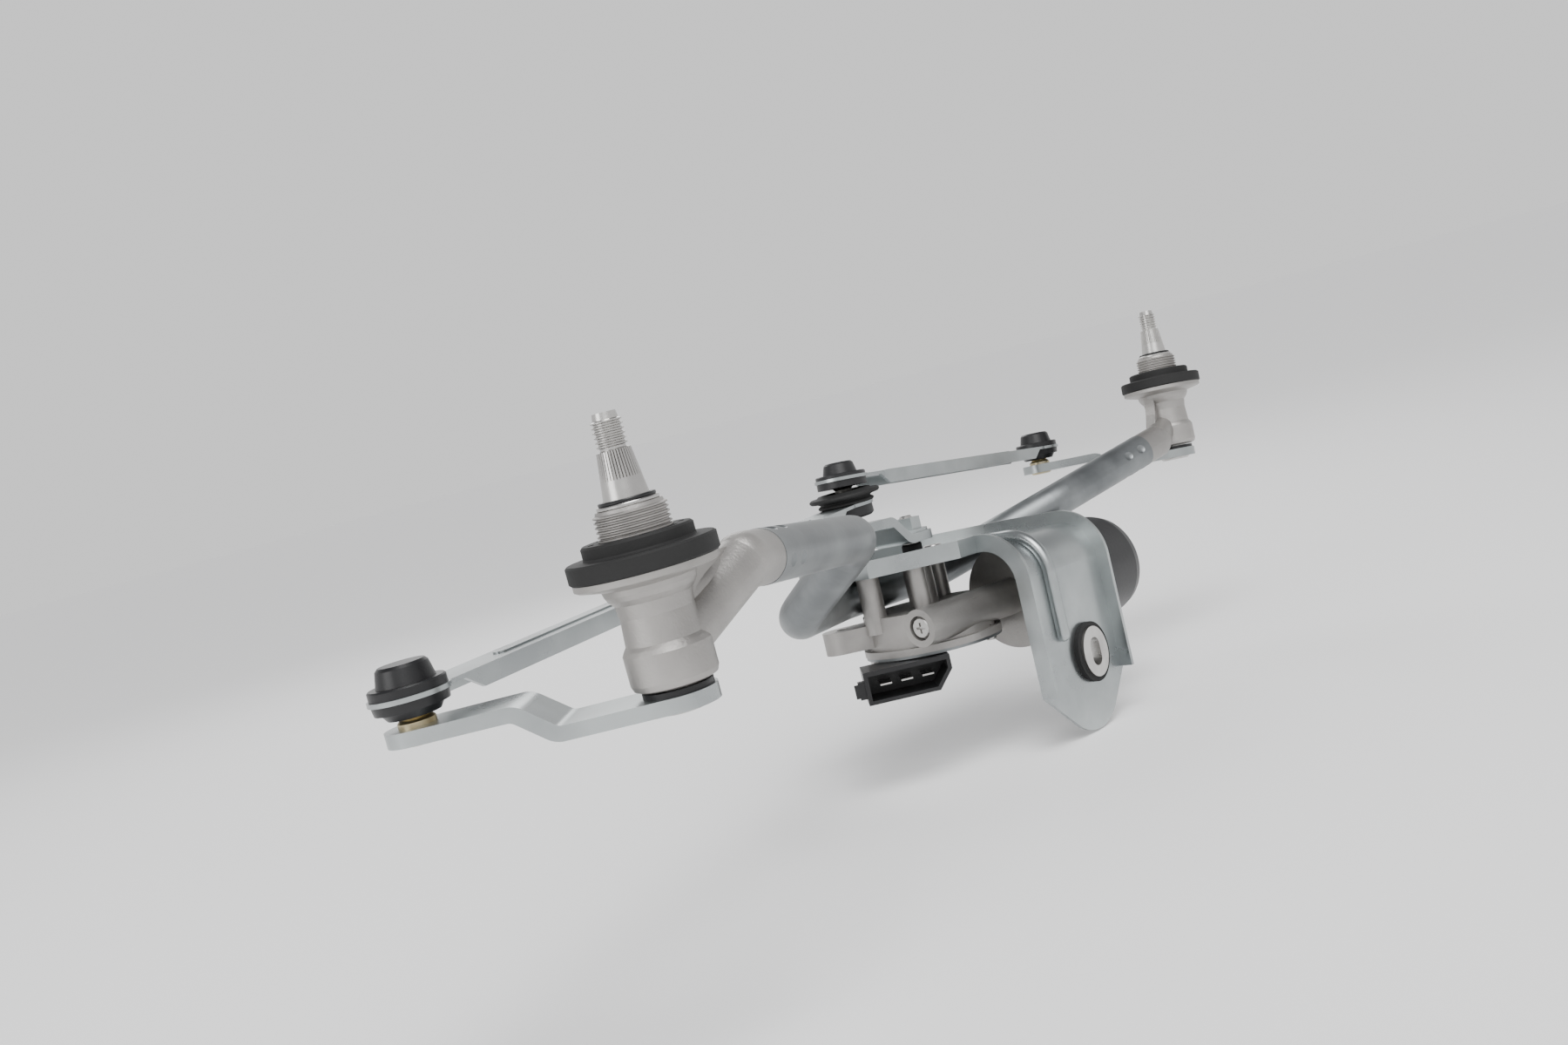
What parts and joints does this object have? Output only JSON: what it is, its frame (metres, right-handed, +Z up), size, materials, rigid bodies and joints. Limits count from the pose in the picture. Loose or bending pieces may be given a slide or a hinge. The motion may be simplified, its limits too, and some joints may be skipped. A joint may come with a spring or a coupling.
{
  "type": "windshield wiper linkage",
  "caption": "Windshield wiper linkage: two pivots on a tube frame, driven through cranks and pressed rods by a worm gear motor.",
  "frame": {"origin": "near spindle axis where the near neck leaves its seal, 11 mm above the flange", "axes": "+Z up the near spindle, +X towards the far pivot"},
  "size_m": [0.6516, 0.1601, 0.22],
  "materials": {
    "zinc_cast": "rough cast",
    "black_paint": "satin powder coat",
    "black_rubber": "matte",
    "steel": "bright",
    "yellow_zinc": "yellow zinc plate",
    "black_plastic": "matte",
    "gear_plastic": "matte",
    "galvanised": "dull zinc",
    "bright_zinc": "bright zinc plate",
    "bronze": "sintered",
    "magnet": "matte ferrite",
    "copper": "enamelled wire",
    "carbon": "matte"
  },
  "bodies": {
    "frame": {"frame_tube": "galvanised", "motor_bracket": "bright_zinc", "bracket_grommet": "black_rubber", "bracket_sleeve": "steel", "gearbox_housing": "zinc_cast", "gearbox_cover": "galvanised", "cover_screws": "steel", "motor_mount_screws": "steel", "worm_end_screw": "steel", "connector": "black_plastic", "connector_terminals": "steel", "motor_can": "black_paint", "magnets": "magnet", "brush_holder": "black_plastic", "brushes": "carbon", "can_bush": "bronze", "gearbox_bush": "bronze", "shaft_seal": "black_rubber", "near_pivot_housing": "zinc_cast", "near_flange_seal": "black_rubber", "near_lower_bush": "bronze", "near_upper_bush": "bronze", "near_neck_washer": "steel", "near_neck_ring": "black_plastic", "far_pivot_housing": "zinc_cast", "far_flange_seal": "black_rubber", "far_lower_bush": "bronze", "far_upper_bush": "bronze", "far_neck_washer": "steel", "far_neck_ring": "black_plastic"},
    "near_spindle_body": {"near_spindle": "steel", "near_crank": "bright_zinc", "near_ball_stud": "yellow_zinc", "near_thrust_washer": "black_plastic"},
    "far_spindle_body": {"far_spindle": "steel", "far_crank": "bright_zinc", "far_ball_stud": "yellow_zinc", "far_thrust_washer": "black_plastic"},
    "rod_1": {"near_rod": "bright_zinc", "near_rod_socket": "black_plastic", "near_rod_stack_socket": "black_plastic", "stack_boot": "black_rubber", "double_ball_stud": "yellow_zinc"},
    "rod_2": {"far_rod": "bright_zinc", "far_rod_stack_socket": "black_plastic", "far_rod_socket": "black_plastic"},
    "motor_crank": {"output_shaft": "steel", "worm_wheel": "gear_plastic", "crank_nut": "bright_zinc", "motor_crank_arm": "bright_zinc"},
    "armature": {"armature_shaft": "steel", "armature_core": "galvanised", "armature_winding": "copper", "commutator": "copper"}
  },
  "joints": [
    {"name": "motor_turn", "type": "hinge", "parent": "frame", "child": "motor_crank", "pos_m": [0.343, 0.0805, -0.038], "axis": [-0.061, 0, -0.9981], "range_deg": [0, 180]},
    {"name": "near_turn", "type": "hinge", "parent": "frame", "child": "near_spindle_body", "pos_m": [0, 0, -0.011], "axis": [0, 0, -1], "range_deg": [0, 68]},
    {"name": "far_turn", "type": "hinge", "parent": "frame", "child": "far_spindle_body", "pos_m": [0.577, 0, -0.0267], "axis": [-0.1219, 0, -0.9925], "range_deg": [0, 68]},
    {"name": "rod_1_turn", "type": "hinge", "parent": "near_spindle_body", "child": "rod_1", "pos_m": [-0.03616, 0.07582, -0.032], "axis": [-0.0091, 0.0123, 0.9999], "range_deg": [0, 68]},
    {"name": "rod_2_turn", "type": "hinge", "parent": "far_spindle_body", "child": "rod_2", "pos_m": [0.53896, 0.07613, -0.0452], "axis": [0.1111, 0.0178, 0.9936], "range_deg": [0, 68]},
    {"name": "armature_turn", "type": "hinge", "parent": "frame", "child": "armature", "pos_m": [0.33215, 0.0549, -0.10296], "axis": [0.9641, -0.259, -0.059], "range_deg": [0, 7740]}
  ],
  "couplings": [
    {"joint": "near_turn", "follows": "motor_turn", "ratio": 0.37688},
    {"joint": "far_turn", "follows": "motor_turn", "ratio": 0.37728},
    {"joint": "rod_1_turn", "follows": "motor_turn", "ratio": 0.37598},
    {"joint": "rod_2_turn", "follows": "motor_turn", "ratio": 0.37748},
    {"joint": "armature_turn", "follows": "motor_turn", "ratio": 43}
  ]
}
